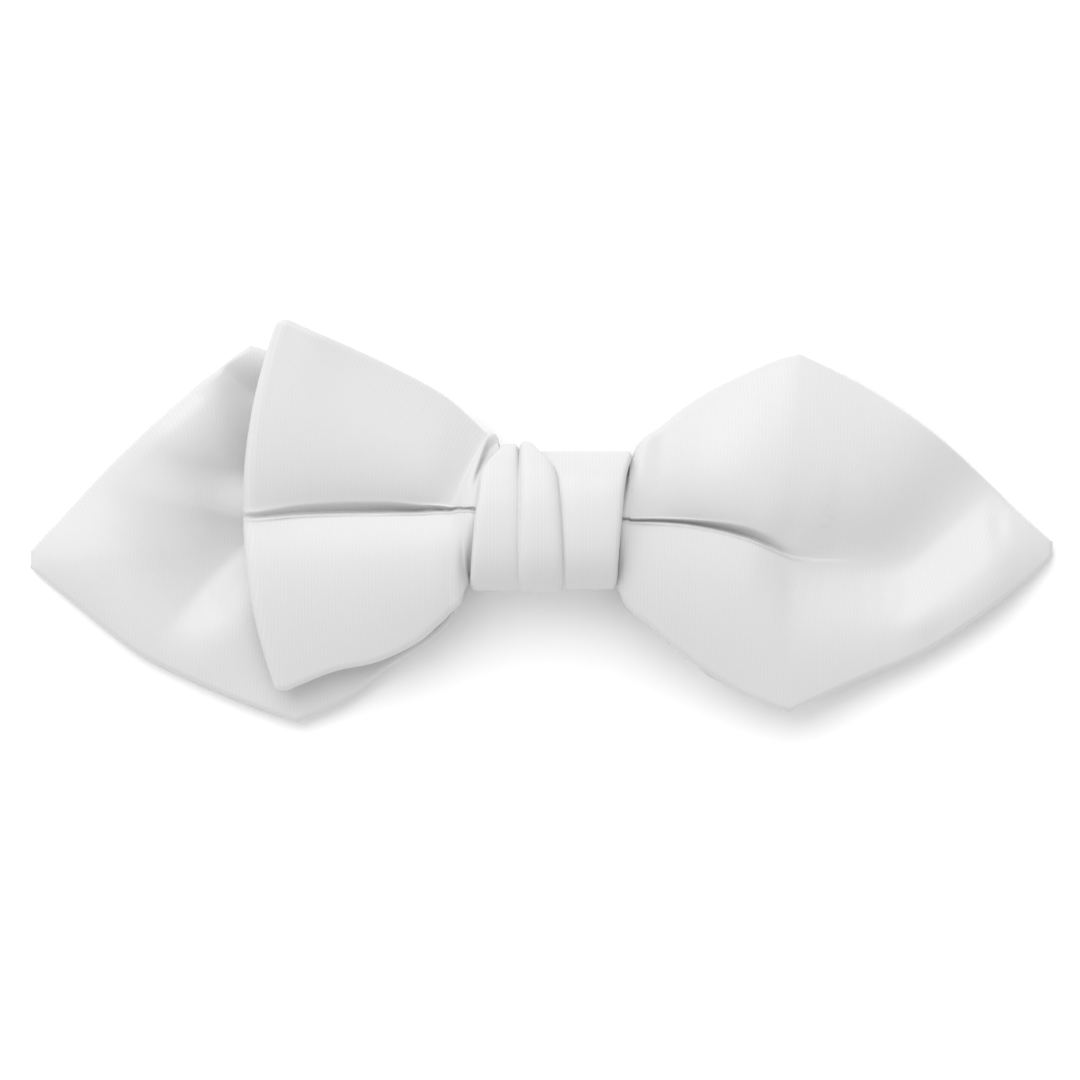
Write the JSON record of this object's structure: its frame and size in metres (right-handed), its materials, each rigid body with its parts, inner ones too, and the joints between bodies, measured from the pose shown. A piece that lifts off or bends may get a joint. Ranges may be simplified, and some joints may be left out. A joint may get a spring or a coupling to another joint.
{
  "type": "diamond point bow tie",
  "caption": "Pre-tied bow tie of white satin with diamond point ends, folded loops, a pleated knot wrap and a spring clip behind the knot for a collar.",
  "frame": {"origin": "on the surface that the bow tie lies on, below the middle of its outline", "axes": "+X across the bow towards the diamond point that lies in front, +Y towards the bow's upper edge as worn, +Z out of its front"},
  "size_m": [0.1272, 0.0496, 0.0163],
  "materials": {
    "satin": "white satin with a soft sheen",
    "clip_steel": "plain bright spring steel"
  },
  "bodies": {
    "root": {"front_blade": "satin", "back_blade": "satin", "knot_wrap": "satin", "collar_clip": "clip_steel"}
  },
  "joints": []
}
